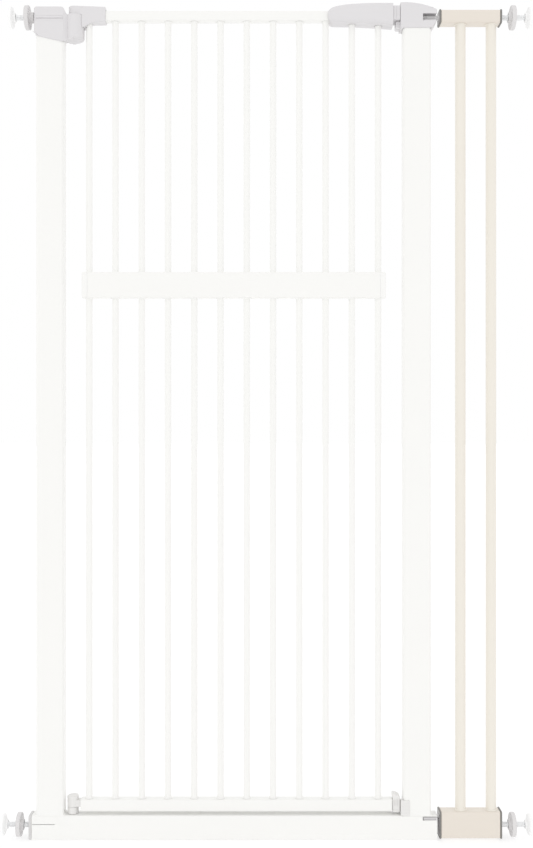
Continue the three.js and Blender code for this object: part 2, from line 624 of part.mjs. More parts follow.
function buildExtension(parent) {
  piece(parent, 'extension_top_tube', extensionTube(EXT_TOP), powderBeige());
  piece(parent, 'extension_bottom_tube', extensionTube(EXT_LOW), powderBeige());
  const foot = EXT_LOW.top + GAP;
  const head = EXT_TOP.bottom - GAP;
  const tube = roundTube(EXT_BAR_RADIUS, foot, head, 16);
  ['left', 'right'].forEach((side, i) => {
    const bar = piece(parent, `extension_bar_${side}`, tube, powderBeige());
    bar.position.x = EXT_BAR_X[i];
  });
  piece(parent, 'extension_plug_top', extensionPlug(EXT_TOP, TOP_AXIS_Z, EXT_PIN.topRadius), darkGrey());
  piece(parent, 'extension_plug_bottom', extensionPlug(EXT_LOW, EXT_PIN.lowZ, EXT_PIN.lowRadius), darkGrey());
  piece(parent, 'extension_cap_top', extensionSocket(EXT_TOP, TOP_AXIS_Z), darkGrey());
  piece(parent, 'extension_cap_bottom', extensionSocket(EXT_LOW, BOTTOM_AXIS_Z), darkGrey());
}

// ---------------------------------------------------------------- wall adjusters
// Each is drawn with its pad's wall face at zero and everything else towards -X. The distances below
// are measured from the gate's middle: the pad's face, the nut's outer face and the rod's inner end.
const HALF_WIDTH = OVERALL_WIDTH / 2;
const NUT_THICKNESS = 8;
const TOP_LEFT = { side: -1, padFace: 464.3, nutFace: 435.6, boss: 8.4, rodEnd: 378 };
const BOTTOM_LEFT = { side: -1, padFace: HALF_WIDTH, nutFace: 450, boss: 4, rodEnd: 385 };
const RIGHT = { side: 1, padFace: HALF_WIDTH, nutFace: 448.5, boss: 4, rodEnd: 384 };
const ADJUSTERS = [
  { name: 'top_left', z: TOP_AXIS_Z, ...TOP_LEFT },
  { name: 'bottom_left', z: BOTTOM_AXIS_Z, ...BOTTOM_LEFT },
  { name: 'top_right', z: TOP_AXIS_Z, ...RIGHT },
  { name: 'bottom_right', z: BOTTOM_AXIS_Z, ...RIGHT },
];

function wallPad() {
  const mouth = -PAD_THICKNESS;
  return turnX([
    [0, 0], [0, PAD_RADIUS - 1.5], [-1.5, PAD_RADIUS], [-4.5, PAD_RADIUS], [-7, 14], [mouth, 8],
    [mouth, PAD_SOCKET_RADIUS], [mouth + PAD_SOCKET_DEPTH, PAD_SOCKET_RADIUS], [mouth + PAD_SOCKET_DEPTH, 0],
  ].reverse(), 20);
}

function spindle(length) {
  const chamfer = 1;
  return turnX([
    [-length, 0], [-length, SPINDLE_RADIUS - chamfer], [chamfer - length, SPINDLE_RADIUS],
    [0, SPINDLE_RADIUS], [0, 0],
  ], 16);
}

// Hand wheel, thinner at the rim than at the hub, with a boss towards the gate.
function wheelNut(boss) {
  const rim = -NUT_THICKNESS;
  const inner = rim - boss;
  return turnX([
    [inner, SPINDLE_BORE], [inner, 10], [rim - 0.4, 10.6], [rim, NUT_RADIUS - 1.6],
    [rim + 1.6, NUT_RADIUS], [-1.6, NUT_RADIUS], [0, NUT_RADIUS - 1.6], [0, SPINDLE_BORE],
    [inner, SPINDLE_BORE],
  ], 20);
}

function buildAdjuster(parent, { name, side, z, padFace, nutFace, boss, rodEnd }) {
  const group = new THREE.Group();
  group.position.set(side * padFace, 0, z);
  group.rotation.z = side < 0 ? Math.PI : 0;
  parent.add(group);
  piece(group, `wall_pad_${name}`, wallPad(), whiteRubber());
  const rodStart = PAD_THICKNESS - PAD_SOCKET_DEPTH + GAP;
  const rod = piece(group, `spindle_${name}`, spindle(padFace - rodStart - rodEnd), zinc());
  rod.position.x = -rodStart;
  const nut = piece(group, `wheel_nut_${name}`, wheelNut(boss), midGrey());
  nut.position.x = nutFace - padFace;
}

// ---------------------------------------------------------------- assembly
const gate = new THREE.Group();
gate.name = 'safety_gate';
const sections = [buildFrame, buildPins, buildDoor, buildRelease, buildExtension];
for (const build of sections) {
  const group = new THREE.Group();
  build(group);
  gate.add(group);
}
for (const adjuster of ADJUSTERS) buildAdjuster(gate, adjuster);

export default gate;
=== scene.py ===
"""Extra-tall safety gate: detailed pieces, surfaces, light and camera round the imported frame.

Shapes are worked out in millimetres and turned into metres when a piece is made.
"""
import math

import bmesh
import bpy
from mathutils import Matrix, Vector


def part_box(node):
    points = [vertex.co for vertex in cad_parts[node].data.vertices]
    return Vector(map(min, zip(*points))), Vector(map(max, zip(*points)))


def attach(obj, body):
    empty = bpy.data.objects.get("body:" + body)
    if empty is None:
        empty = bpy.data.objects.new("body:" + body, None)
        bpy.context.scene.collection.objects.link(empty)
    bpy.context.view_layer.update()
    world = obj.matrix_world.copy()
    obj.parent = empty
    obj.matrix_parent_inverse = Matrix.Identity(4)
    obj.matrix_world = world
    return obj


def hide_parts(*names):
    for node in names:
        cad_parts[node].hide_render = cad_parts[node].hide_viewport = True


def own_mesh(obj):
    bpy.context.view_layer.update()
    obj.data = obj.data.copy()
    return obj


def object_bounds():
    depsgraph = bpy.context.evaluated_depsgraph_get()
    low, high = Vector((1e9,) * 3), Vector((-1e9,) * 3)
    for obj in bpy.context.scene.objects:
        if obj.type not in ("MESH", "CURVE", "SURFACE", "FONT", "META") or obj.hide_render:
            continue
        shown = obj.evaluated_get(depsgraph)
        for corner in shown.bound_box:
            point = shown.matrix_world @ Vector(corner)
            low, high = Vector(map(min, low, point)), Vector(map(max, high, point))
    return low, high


MM = 0.001
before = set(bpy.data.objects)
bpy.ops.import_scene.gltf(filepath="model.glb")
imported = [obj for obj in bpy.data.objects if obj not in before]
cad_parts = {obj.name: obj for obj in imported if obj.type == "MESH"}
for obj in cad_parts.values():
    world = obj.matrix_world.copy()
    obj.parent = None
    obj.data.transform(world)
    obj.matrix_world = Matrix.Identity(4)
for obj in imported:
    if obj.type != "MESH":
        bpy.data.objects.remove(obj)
cad_low, cad_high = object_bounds()

# Steel tube
TUBE_CORNER = 6.0  # uprights
RAIL_CORNER = 3.2  # door rails
TUBE_WALL = 1.5
END_CHAMFER = 0.4

# Mouldings
SHELL_WALL = 2.4
PARTING = 0.15  # half the gap between two shells
FIT = 0.3  # gap round a piece that is held by another
PLAY = 0.4  # gap round a piece that moves past another
SCREW_HEAD = 2.6
SCREW_WELL = 3.4

# Hinge
HINGE_PIN = 4.0
HINGE_BORE = 4.2
ARM_TOP, ARM_BOTTOM = 1483.0, 1438.0  # heights of the hinge arm

# Latch
SHANK_HALF = 8  # half depth of the tongue inside the handle

# Extension panel's pins
PIN_HEIGHT = {"extension_plug_top": 1481.0, "extension_plug_bottom": 38.8}
PIN_RADIUS = {"extension_plug_top": 4.0, "extension_plug_bottom": 3.2}

# Wall adjusters
SPINDLE = 5.0
SPINDLE_BORE = 5.7
THREAD_PITCH = 2.5
THREAD_DEPTH = 0.9

# Reach of the shapes that cut the fittings at the top, well past them
UNDER, OVER = 1400, 1600
ASIDE = 60


# ---------------------------------------------------------------- places
def corners_of(node):
    """Lowest and highest corner of a frame node, in millimetres."""
    low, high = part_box(node)
    return low / MM, high / MM


def middle_of(node):
    """Middle of a frame node, in millimetres."""
    low, high = corners_of(node)
    return (low + high) / 2


def place(axis, along, u, v):
    """A point at a distance along an axis, with its other two coordinates in order."""
    if axis == "X":
        return Vector((along, u, v))
    if axis == "Y":
        return Vector((u, along, v))
    return Vector((u, v, along))


# ---------------------------------------------------------------- outlines
def curve(a, b, c, steps=10):
    """Points from a to c that bend towards b."""
    along = [k / steps for k in range(steps + 1)]
    return [a * (1 - t) ** 2 + b * (2 * t * (1 - t)) + c * t ** 2 for t in along]


def outline(corners, steps=8):
    """Anticlockwise points of a closed outline from corners (x, y, rounding)."""
    points = []
    for i, (x, y, radius) in enumerate(corners):
        here = Vector((x, y))
        if radius == 0:
            points.append(here)
            continue
        before = Vector(corners[i - 1][:2])
        after = Vector(corners[(i + 1) % len(corners)][:2])
        start = here + (before - here).normalized() * radius
        end = here + (after - here).normalized() * radius
        points += curve(start, here, end, steps)
    return anticlockwise(points)


def anticlockwise(points):
    area = sum(p.x * q.y - q.x * p.y for p, q in zip(points, points[1:] + points[:1]))
    return points if area > 0 else points[::-1]


def rectangle(x0, x1, y0, y1, radius, steps=6):
    return outline([(x0, y0, radius), (x1, y0, radius), (x1, y1, radius), (x0, y1, radius)], steps)


def circle(radius, sides=32, x=0.0, y=0.0):
    turns = [2 * math.pi * k / sides for k in range(sides)]
    return [Vector((x + radius * math.cos(t), y + radius * math.sin(t))) for t in turns]


def stadium(radius, x, far_x, sides=20):
    """A round end about x with straight sides that run to far_x."""
    side = 1 if far_x > x else -1
    points = [Vector((far_x, -radius)), Vector((far_x, radius))]
    for k in range(sides + 1):
        turn = math.pi * (0.5 + k / sides)
        points.append(Vector((x + side * radius * math.cos(turn), radius * math.sin(turn))))
    return anticlockwise(points)


def inset(points, distance):
    """The same points with every side moved inwards."""
    if distance == 0:
        return [p.copy() for p in points]
    moved = []
    for i, p in enumerate(points):
        into = (p - points[i - 1]).normalized()
        out = (points[(i + 1) % len(points)] - p).normalized()
        inward = Vector((-into.y - out.y, into.x + out.x)).normalized()
        spread = max(0.35, inward.dot(Vector((-into.y, into.x))))
        moved.append(p + inward * (distance / spread))
    return moved


# ---------------------------------------------------------------- solids
def loft(rings, cyclic=False):
    """A solid skinned over rings of points, closed by its end rings or on round to the first."""
    solid = bmesh.new()
    layers = [[solid.verts.new(point) for point in ring] for ring in rings]
    following = layers[1:] + (layers[:1] if cyclic else [])
    for lower, upper in zip(layers, following):
        for i in range(len(lower)):
            j = (i + 1) % len(lower)
            solid.faces.new((lower[i], lower[j], upper[j], upper[i]))
    if not cyclic:
        solid.faces.new(layers[0][::-1])
        solid.faces.new(layers[-1])
    bmesh.ops.recalc_face_normals(solid, faces=solid.faces)
    return solid


def rounding(edge, steps):
    """Steps (inwards, along) round a quarter circle from an end face to the side."""
    if edge == 0:
        return [(0.0, 0.0)]
    turns = [k / steps * math.pi / 2 for k in range(steps + 1)]
    return [(edge * (1 - math.sin(t)), edge * (1 - math.cos(t))) for t in turns]


def prism(axis, points, low, high, edge=0.0, steps=4, far_edge=None):
    """An outline run along an axis, with its ends rounded over."""
    far_edge = edge if far_edge is None else far_edge
    ends = [(inwards, low + depth) for inwards, depth in rounding(edge, steps)]
    ends += [(inwards, high - depth) for inwards, depth in reversed(rounding(far_edge, steps))]
    return loft([[place(axis, along, *p) for p in inset(points, inwards)] for inwards, along in ends])


def block(x0, x1, y0, y1, z0, z1, edge=0.0):
    """A box, its edges rounded over if an edge is given."""
    if edge == 0:
        return prism("Z", [Vector(p) for p in ((x0, y0), (x1, y0), (x1, y1), (x0, y1))], z0, z1)
    return prism("Z", rectangle(x0, x1, y0, y1, edge * 1.6), z0, z1, edge)


def tube(axis, outer, wall, low, high, edge=END_CHAMFER):
    """A hollow section with softened outer edges at its cut ends."""
    inner = inset(outer, wall)
    softened = inset(outer, edge)
    rings = [(softened, low), (outer, low + edge), (outer, high - edge), (softened, high)]
    rings += [(inner, high), (inner, low)]
    return loft([[place(axis, along, *p) for p in ring] for ring, along in rings], cyclic=True)


def turned(axis, u, v, profile, sides=48, cyclic=False):
    """A profile of (distance along, radius) turned round an axis through u, v."""
    return loft([[place(axis, along, p.x + u, p.y + v) for p in circle(radius, sides)]
                 for along, radius in profile], cyclic)


def swept(points, radii, sides=10):
    """A closed bead along a closed run of points."""
    rings = []
    for i, p in enumerate(points):
        ahead = (points[(i + 1) % len(points)] - points[i - 1]).normalized()
        side = ahead.cross(Vector((0, 0, 1))).normalized()
        up = side.cross(ahead)
        rings.append([p + side * c.x + up * c.y for c in circle(radii[i], sides)])
    return loft(rings, cyclic=True)


def as_object(solid):
    bmesh.ops.triangulate(solid, faces=solid.faces)
    mesh = bpy.data.meshes.new("work")
    solid.to_mesh(mesh)
    solid.free()
    obj = bpy.data.objects.new("work", mesh)
    bpy.context.scene.collection.objects.link(obj)
    return obj


def combine(operation, body, *tools):
    """A solid cut by, joined with or kept inside other solids, its flat faces made whole again."""
    target = as_object(body)
    helpers = [as_object(tool) for tool in tools]
    for helper in helpers:
        modifier = target.modifiers.new("work", "BOOLEAN")
        modifier.operation = operation
        modifier.solver = "MANIFOLD"
        modifier.object = helper
    evaluated = target.evaluated_get(bpy.context.evaluated_depsgraph_get())
    result = bmesh.new()
    result.from_mesh(evaluated.to_mesh())
    for obj in [target, *helpers]:
        mesh = obj.data
        bpy.data.objects.remove(obj)
        bpy.data.meshes.remove(mesh)
    bmesh.ops.remove_doubles(result, verts=result.verts, dist=0.002)
    bmesh.ops.dissolve_limit(result, angle_limit=0.004, verts=result.verts, edges=result.edges)
    bmesh.ops.triangulate(result, faces=result.faces)
    return result


def cut(body, *tools):
    return combine("DIFFERENCE", body, *tools)


def join(body, *others):
    return combine("UNION", body, *others)


def common(body, *others):
    return combine("INTERSECT", body, *others)


def halves(solid):
    """Front and rear shells of a moulding, parted at mid depth."""
    far = 3000
    rear = common(solid.copy(), block(-far, far, PARTING, far, -far, far))
    front = common(solid, block(-far, far, -far, -PARTING, -far, far))
    return front, rear


def add(name, body, solid, material, nodes=(), smooth=32):
    """Makes a piece that rides on a body and stands for the given frame nodes."""
    bmesh.ops.scale(solid, vec=(MM, MM, MM), verts=solid.verts)
    bmesh.ops.recalc_face_normals(solid, faces=solid.faces)
    if solid.calc_volume(signed=True) < 0:
        bmesh.ops.reverse_faces(solid, faces=solid.faces)
    mesh = bpy.data.meshes.new(name)
    solid.to_mesh(mesh)
    solid.free()
    mesh.shade_smooth()
    mesh.set_sharp_from_angle(angle=math.radians(smooth))
    mesh.materials.append(material)
    piece = bpy.data.objects.new(name, mesh)
    piece.modifiers.new("flat_faces", "WEIGHTED_NORMAL").keep_sharp = True
    bpy.context.scene.collection.objects.link(piece)
    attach(piece, body)
    if nodes:
        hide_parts(*nodes)
    return piece


# ---------------------------------------------------------------- surfaces
def surface(name, colour, roughness, variation, mottle, peel, grain, metallic=0.0, coat=0.0):
    """A procedural finish: mottled colour, uneven gloss, a soft ripple and a fine grain.

    peel and grain are (cells per metre, height in millimetres).
    """
    material = bpy.data.materials.new(name)
    material.use_nodes = True
    nodes, links = material.node_tree.nodes, material.node_tree.links
    shader = nodes["Principled BSDF"]
    shader.inputs["Metallic"].default_value = metallic
    shader.inputs["Coat Weight"].default_value = coat
    shader.inputs["Coat Roughness"].default_value = 0.2
    where = nodes.new("ShaderNodeTexCoord").outputs["Object"]

    def noise(scale, detail):
        node = nodes.new("ShaderNodeTexNoise")
        node.inputs["Scale"].default_value = scale
        node.inputs["Detail"].default_value = detail
        links.new(where, node.inputs["Vector"])
        return node.outputs["Fac"]

    ramp = nodes.new("ShaderNodeValToRGB")
    ramp.color_ramp.elements[0].position = 0.3
    ramp.color_ramp.elements[1].position = 0.7
    ramp.color_ramp.elements[0].color = (*(c * (1 - mottle) for c in colour), 1)
    ramp.color_ramp.elements[1].color = (*(c * (1 + mottle) for c in colour), 1)
    links.new(noise(9, 4), ramp.inputs["Fac"])
    links.new(ramp.outputs["Color"], shader.inputs["Base Color"])

    gloss = nodes.new("ShaderNodeMapRange")
    gloss.inputs["From Min"].default_value = 0.25
    gloss.inputs["From Max"].default_value = 0.75
    gloss.inputs["To Min"].default_value = roughness - variation
    gloss.inputs["To Max"].default_value = roughness + variation
    links.new(noise(60, 5), gloss.inputs["Value"])
    links.new(gloss.outputs["Result"], shader.inputs["Roughness"])

    normal = None
    for cells, height in (peel, grain):
        bump = nodes.new("ShaderNodeBump")
        bump.inputs["Strength"].default_value = 1.0
        bump.inputs["Distance"].default_value = height * MM
        links.new(noise(cells, 2), bump.inputs["Height"])
        if normal:
            links.new(normal, bump.inputs["Normal"])
        normal = bump.outputs["Normal"]
    links.new(normal, shader.inputs["Normal"])
    return material


POWDER = {"roughness": 0.42, "variation": 0.05, "peel": (420, 0.03), "grain": (1800, 0.006), "coat": 0.15}
MOULDED = {"roughness": 0.5, "variation": 0.06, "peel": (900, 0.012), "grain": (3200, 0.012)}

POWDER_WHITE = surface("powder_white", (0.898, 0.894, 0.873), mottle=0.004, **POWDER)
POWDER_BEIGE = surface("powder_beige", (0.775, 0.715, 0.64), mottle=0.006, **POWDER)
POWDER_CREAM = surface("powder_cream", (0.83, 0.79, 0.715), mottle=0.006, **POWDER)
WHITE_PLASTIC = surface("white_plastic", (0.898, 0.894, 0.878), mottle=0.004, **MOULDED)
PALE_GREY = surface("pale_grey_plastic", (0.72, 0.705, 0.715), mottle=0.008, **MOULDED)
# Lighter copy of the pale grey plastic for the pieces near the floor: painted light that offsets the shade
# they get down there.
LIT_PALE_GREY = surface("pale_grey_plastic_lit", (0.80, 0.79, 0.775), mottle=0.008, **MOULDED)
MID_GREY = surface("mid_grey_plastic", (0.66, 0.65, 0.645), mottle=0.01, **MOULDED)
NUT_GREY = surface("nut_grey_plastic", (0.72, 0.705, 0.705), mottle=0.01, **MOULDED)
DARK_GREY = surface("dark_grey_plastic", (0.22, 0.212, 0.2), mottle=0.02, **MOULDED)
# Pin grey lightened well past the pin's own darker grey: painted light that lifts the shade in the slot
# window round it.
LIT_PIN_GREY = surface("pin_grey_plastic_lit", (0.85, 0.84, 0.84), mottle=0.02, **MOULDED)
RUBBER = surface("white_rubber", (0.95, 0.95, 0.947), roughness=0.75, variation=0.06, mottle=0.01,
                 peel=(1100, 0.02), grain=(3600, 0.02))
ZINC = surface("zinc_steel", (0.90, 0.905, 0.91), roughness=0.38, variation=0.09, mottle=0.03,
               peel=(500, 0.01), grain=(2600, 0.01), metallic=1.0)


# ---------------------------------------------------------------- frame
def weld_round(x0, x1, y0, y1, z, bead):
    """A rippled weld round the foot of a square tube, flush with its front and back."""
    corners = rectangle(x0 - bead * 0.3, x1 + bead * 0.3, y0 + bead, y1 - bead, 3, 4)
    path = []
    for p, q in zip(corners, corners[1:] + corners[:1]):
        steps = max(1, round((q - p).length / 0.7))
        path += [Vector((*p.lerp(q, k / steps), z)) for k in range(steps)]
    radii = [bead * (1 + 0.08 * math.sin(i * 2.1)) for i in range(len(path))]
    return swept(path, radii)


def make_upright(node):
    low, high = corners_of(node)
    body = tube("Z", rectangle(low.x, high.x, low.y, high.y, TUBE_CORNER, 8), TUBE_WALL, low.z, high.z)
    add(f"{node}_tube", "frame", body, POWDER_WHITE, [node])
    weld = weld_round(low.x, high.x, low.y, high.y, low.z - 0.1, 1.5)
    add(f"{node}_weld", "frame", weld, POWDER_WHITE)


def extension_slot():
    """Left end, bottom and top of the slot that the extension's lower pin slides into."""
    node = "extension_plug_bottom"
    return corners_of(node)[0].x - 1, PIN_HEIGHT[node] - PIN_RADIUS[node], PIN_HEIGHT[node] + 3.7


def make_bottom_rail():
    low, high = corners_of("bottom_rail")
    slot_x, slot_low, slot_high = extension_slot()
    body = tube("X", rectangle(low.y, high.y, low.z, high.z, 3), TUBE_WALL, low.x, high.x)
    through = low.y + TUBE_WALL + 1
    window = block(slot_x, high.x + 5, low.y - 2, through, slot_low, slot_high)
    seam_end = corners_of("left_upright")[1].x - 16
    seam_z = 28.3
    seam = block(low.x + 1, seam_end, low.y - 2, through, seam_z - 0.5, seam_z + 0.5)
    add("bottom_rail_tube", "frame", cut(body, window, seam), POWDER_WHITE, ["bottom_rail"])


def make_bottom_rail_socket():
    low, high = corners_of("bottom_rail_socket")
    slot_x, slot_low, slot_high = extension_slot()
    channel = block(slot_x, high.x + 5, low.y - 5, 4.4, slot_low - 0.6, slot_high + 5)
    lip = block(slot_x + 1.5, high.x - 0.5, low.y + 0.4, low.y + 3.4, slot_low - 2, slot_low + 4.6)
    moulding = cut(block(low.x, high.x, low.y, high.y, low.z, high.z), channel)
    add("bottom_rail_socket_moulding", "frame", join(moulding, lip), PALE_GREY, ["bottom_rail_socket"])


def make_bottom_rail_cap():
    low, high = corners_of("bottom_rail_cap")
    axis_z = middle_of("spindle_bottom_left").z
    face = corners_of("bottom_rail")[0].x - FIT
    flange = prism("X", rectangle(low.y, high.y, low.z, high.z, 4.5), low.x, face, 1.2)
    collar = turned("X", 0, axis_z, [
        (low.x - 0.9, 9.2), (low.x - 0.9, 9.8), (low.x - 0.4, 10.4), (low.x + 2, 10.6)])
    spigot = block(face - 1, high.x, low.y + 2.8, high.y - 2.8, low.z + 3, high.z - 3)
    bore = turned("X", 0, axis_z, [(low.x - 5, SPINDLE_BORE), (high.x + 5, SPINDLE_BORE)], 32)
    body = cut(join(flange, collar, spigot), bore)
    add("bottom_rail_cap_moulding", "frame", body, MID_GREY, ["bottom_rail_cap"])


def screw_wells(places, half):
    """Round sinks for screw heads in a rear shell."""
    return [turned("Y", x, z, [(half - 2.2, SCREW_WELL), (half + 3, SCREW_WELL)], 24) for x, z in places]


def screws(name, body, places, half):
    """Cross-head screws sunk in a rear shell, their heads facing away from the viewer."""
    face = half - 1.0
    for i, (x, z) in enumerate(places):
        head = turned("Y", x, z, [(face - 1.8, SCREW_HEAD), (face - 0.5, SCREW_HEAD), (face, 1.9)], 24)
        cross = [block(x - a, x + a, face - 1, face + 1, z - b, z + b) for a, b in ((1.5, 0.3), (0.3, 1.5))]
        add(f"{name}_screw_{i + 1}", body, cut(head, *cross), ZINC)


def make_shells(name, nodes, body, whole, screw_places, half):
    """Parts a moulding into its front and rear shells and screws them together."""
    shells = halves(cut(whole, *screw_wells(screw_places, half)))
    for side, node, shell in zip(("front", "rear"), nodes, shells):
        add(f"{name}_shell_{side}", body, shell, PALE_GREY, [node])
    screws(name, body, screw_places, half)


def swing_grooves(hinge_x, half):
    """Grooves beside the round hinge arm, front and rear, that the door's shroud swings into."""
    reach, root, root_y = 19, 11.5, 12.2
    grooves = []
    for side in (-1, 1):
        plan = [Vector((hinge_x + x, side * y)) for x, y in (
            (-reach, half), (-root, root_y), (1, root_y), (1, half + 9), (-reach, half + 9))]
        column = turned("Z", hinge_x, 0, [(UNDER - 10, half), (OVER + 10, half)], 64)
        grooves.append(cut(prism("Z", anticlockwise(plan), UNDER, OVER), column))
    return grooves


def housing_outside(low, top, tube_low, tube_high, hinge_x, half):
    """Closed outer shape of the hinge housing with its round arm."""
    shape = outline([
        (low.x, top, 5), (tube_high.x - 1, top, 5), (tube_high.x + 4.4, ARM_TOP, 1.5),
        (hinge_x, ARM_TOP, 0), (hinge_x, ARM_BOTTOM, 0), (tube_high.x + 5, ARM_BOTTOM, 3),
        (tube_high.x - 1, ARM_BOTTOM - 5.8, 4), (tube_low.x + 3, ARM_BOTTOM + 5, 6),
        (low.x, ARM_BOTTOM + 11, 4)])
    body = prism("Y", shape, low.y, half, 2.4, 6)
    # The rear lower edge rises beside the upright, where the shroud swings past.
    slope = [Vector(p) for p in (
        (-25, ARM_BOTTOM - 18), (25, ARM_BOTTOM - 18), (25, ARM_BOTTOM + 5), (-25, ARM_BOTTOM - 7.7))]
    arm = prism("Z", stadium(half, hinge_x, tube_high.x + 3, 28), ARM_BOTTOM, ARM_TOP, 6, 8, 0.5)
    return join(cut(body, prism("X", slope, tube_high.x - 4, tube_high.x + 12)), arm)


def make_hinge_housing():
    tube_low, tube_high = corners_of("left_upright")
    low, high = corners_of("hinge_housing_front")
    hinge_x = middle_of("upper_hinge_pin").x
    half, top = -low.y, high.z
    left, right = low.x + SHELL_WALL, tube_high.x - 3
    roof, floor = top - SHELL_WALL, tube_high.z + 2.2
    walls = [Vector(p) for p in ((left, roof), (right, roof), (right, floor), (left, floor))]
    hollow = prism("Y", walls, -half + SHELL_WALL, half - SHELL_WALL)
    axis_z = middle_of("spindle_top_left").z
    boss = block(low.x - 5, tube_high.x + 5, -9, 9, axis_z - 9, axis_z + 9)
    pocket = block(tube_low.x - FIT, tube_high.x + FIT, tube_low.y - FIT, tube_high.y + FIT, UNDER,
                   tube_high.z + FIT)
    band_z = tube_high.z + 8.5
    band = [block(tube_low.x + 0.5, tube_high.x - 1, -half - 2, -half + depth, band_z - reach, band_z + reach)
            for depth, reach in ((0.5, 5), (1.7, 0.8))]
    spindle_bore = turned("X", 0, axis_z, [(low.x - 9, SPINDLE_BORE), (tube_high.x - 6, SPINDLE_BORE)], 32)
    pin_bottom = corners_of("upper_hinge_pin")[0].z - 1
    pin_bore = turned("Z", hinge_x, 0, [(pin_bottom, HINGE_BORE), (OVER, HINGE_BORE)], 32)
    whole = cut(housing_outside(low, top, tube_low, tube_high, hinge_x, half), cut(hollow, boss), pocket,
                *band, spindle_bore, pin_bore, *swing_grooves(hinge_x, half))
    places = [(tube_low.x + 9, top - 7), (tube_high.x - 7, top - 7), (hinge_x - 4, ARM_BOTTOM + 11)]
    make_shells("hinge_housing", ("hinge_housing_front", "hinge_housing_rear"), "frame", whole, places, half)


def catch_slot(high, half):
    """The block round the slot for the extension's top pin, the slot's two cuts and the rib in it."""
    pin_z = PIN_HEIGHT["extension_plug_top"]
    slot_x = corners_of("extension_plug_top")[0].x - 1
    right = high.x + 94
    solid = block(slot_x - SHELL_WALL, right, -30, 30, pin_z - 13, pin_z + 7.4)
    channel = block(slot_x, right, -half + 2.6, 5.2, pin_z - 9.5, pin_z + 5)
    window = block(slot_x, right, -30, -half + 3, pin_z - 10.4, pin_z + 2.4)
    rib = block(slot_x + 1.5, high.x - 1.5, -half + 3.4, -half + 5, pin_z - 10, pin_z - 7.6)
    return slot_x, solid, (channel, window), rib


def make_catch():
    low, high = corners_of("catch_front")
    tube_low, tube_high = corners_of("right_upright")
    half = -low.y
    notch = corners_of("latch_tongue")[1].x + PLAY
    seat, floor, bottom = tube_high.z + FIT, tube_high.z + 4.6, tube_high.z - 9.7
    body_shape = outline([
        (notch - 6, bottom, 3), (tube_high.x + 2, bottom, 3), (high.x, high.z - 32.6, 3),
        (high.x, high.z - 12.1, 3), (high.x - 9, high.z - 9.1, 3), (high.x - 15, high.z - 6.4, 4),
        (high.x - 29, high.z - 2.7, 6), (high.x - 48, high.z, 8), (notch - 6, high.z, 3)])
    body = cut(prism("Y", body_shape, low.y, half, 2.0, 6), block(0, notch, -ASIDE, ASIDE, UNDER, OVER))
    tab_shape = outline([
        (low.x + 0.4, bottom + 1.2, 2.4), (notch + 3, bottom + 1.2, 0), (notch + 3, floor, 0),
        (low.x + 0.4, floor, 2)])
    tab_half = 9
    tab = prism("Y", tab_shape, -tab_half, tab_half, 1.2)
    walls = inset(outline([
        (notch + 2.5, seat, 0), (high.x - 6, seat, 0), (high.x, high.z - 30.6, 0),
        (high.x, high.z - 12.6, 0), (high.x - 29, high.z - 3.4, 6), (high.x - 48, high.z, 6),
        (notch + 2.5, high.z, 0)]), SHELL_WALL)
    hollow = prism("Y", walls, -half + SHELL_WALL, half - SHELL_WALL)
    pocket = block(tube_low.x - FIT, tube_high.x + FIT, tube_low.y - FIT, tube_high.y + FIT, UNDER, seat)
    inside = TUBE_WALL + FIT
    spigot_shape = rectangle(tube_low.x + inside, tube_high.x - inside, tube_low.y + inside,
                             tube_high.y - inside, 4.5)
    spigot = tube("Z", spigot_shape, SHELL_WALL, low.z, seat + 1)
    slot_x, slot_block, slot_cuts, rib = catch_slot(high, half)
    whole = cut(join(body, tab), cut(hollow, slot_block), pocket)
    whole = join(cut(join(whole, spigot), *slot_cuts), rib)
    places = [(notch + 14, high.z - 9.6), (slot_x + 12, high.z - 12.1), (notch + 14, floor + 2)]
    make_shells("catch", ("catch_front", "catch_rear"), "frame", whole, places, half)


def make_bottom_hinge_socket():
    low, high = corners_of("bottom_hinge_socket")
    x = middle_of("bottom_hinge_socket").x
    radius = (high.x - low.x) / 2
    body = turned("Z", x, 0, [
        (low.z, radius - 0.8), (low.z + 0.6, radius), (high.z + 0.3, radius),
        (high.z + 0.6, radius - 0.3)], 64)
    pin_low = corners_of("lower_hinge_pin")[0].z
    pin_x = middle_of("lower_hinge_pin").x
    bore = turned("Z", pin_x, 0, [(pin_low - PLAY, HINGE_BORE), (high.z + 5, HINGE_BORE)], 32)
    add("bottom_hinge_socket_moulding", "frame", cut(body, bore), LIT_PALE_GREY, ["bottom_hinge_socket"])


def make_latch_bracket():
    low, high = corners_of("latch_bracket")
    tube_low, tube_high = corners_of("right_upright")
    side = outline([
        (low.y, low.z, 2.5), (high.y, low.z, 2.5), (high.y, high.z - 8, 3), (low.y + 6, high.z, 3),
        (low.y, high.z, 2.5)])
    body = prism("X", side, low.x, high.x, 1.4, 5)
    pocket = block(tube_low.x - FIT, high.x + 20, tube_low.y - FIT, tube_high.y + FIT, 0, high.z + 20)
    pitch = 5.5
    bands = [block(low.x + 1.6, high.x - 1.6, y, y + 2.4, low.z + k * pitch, low.z + k * pitch + 0.9)
             for k in range(1, 5) for y in (low.y - 2.0, high.y - 0.4)]
    add("latch_bracket_moulding", "frame", cut(body, pocket, *bands), LIT_PALE_GREY, ["latch_bracket"])


def make_pins():
    for node in ("upper_hinge_pin", "lower_hinge_pin"):
        low, high = corners_of(node)
        body = turned("Z", middle_of(node).x, 0, [
            (low.z, HINGE_PIN - 0.8), (low.z + 0.8, HINGE_PIN), (high.z - 1.6, HINGE_PIN),
            (high.z - 0.6, HINGE_PIN - 0.5), (high.z, HINGE_PIN - 1.6)], 32)
        add(f"{node}_rod", "hinge_pins", body, ZINC, [node])


# ---------------------------------------------------------------- door
def door_bars():
    return sorted(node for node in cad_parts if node.startswith("door_bar_"))


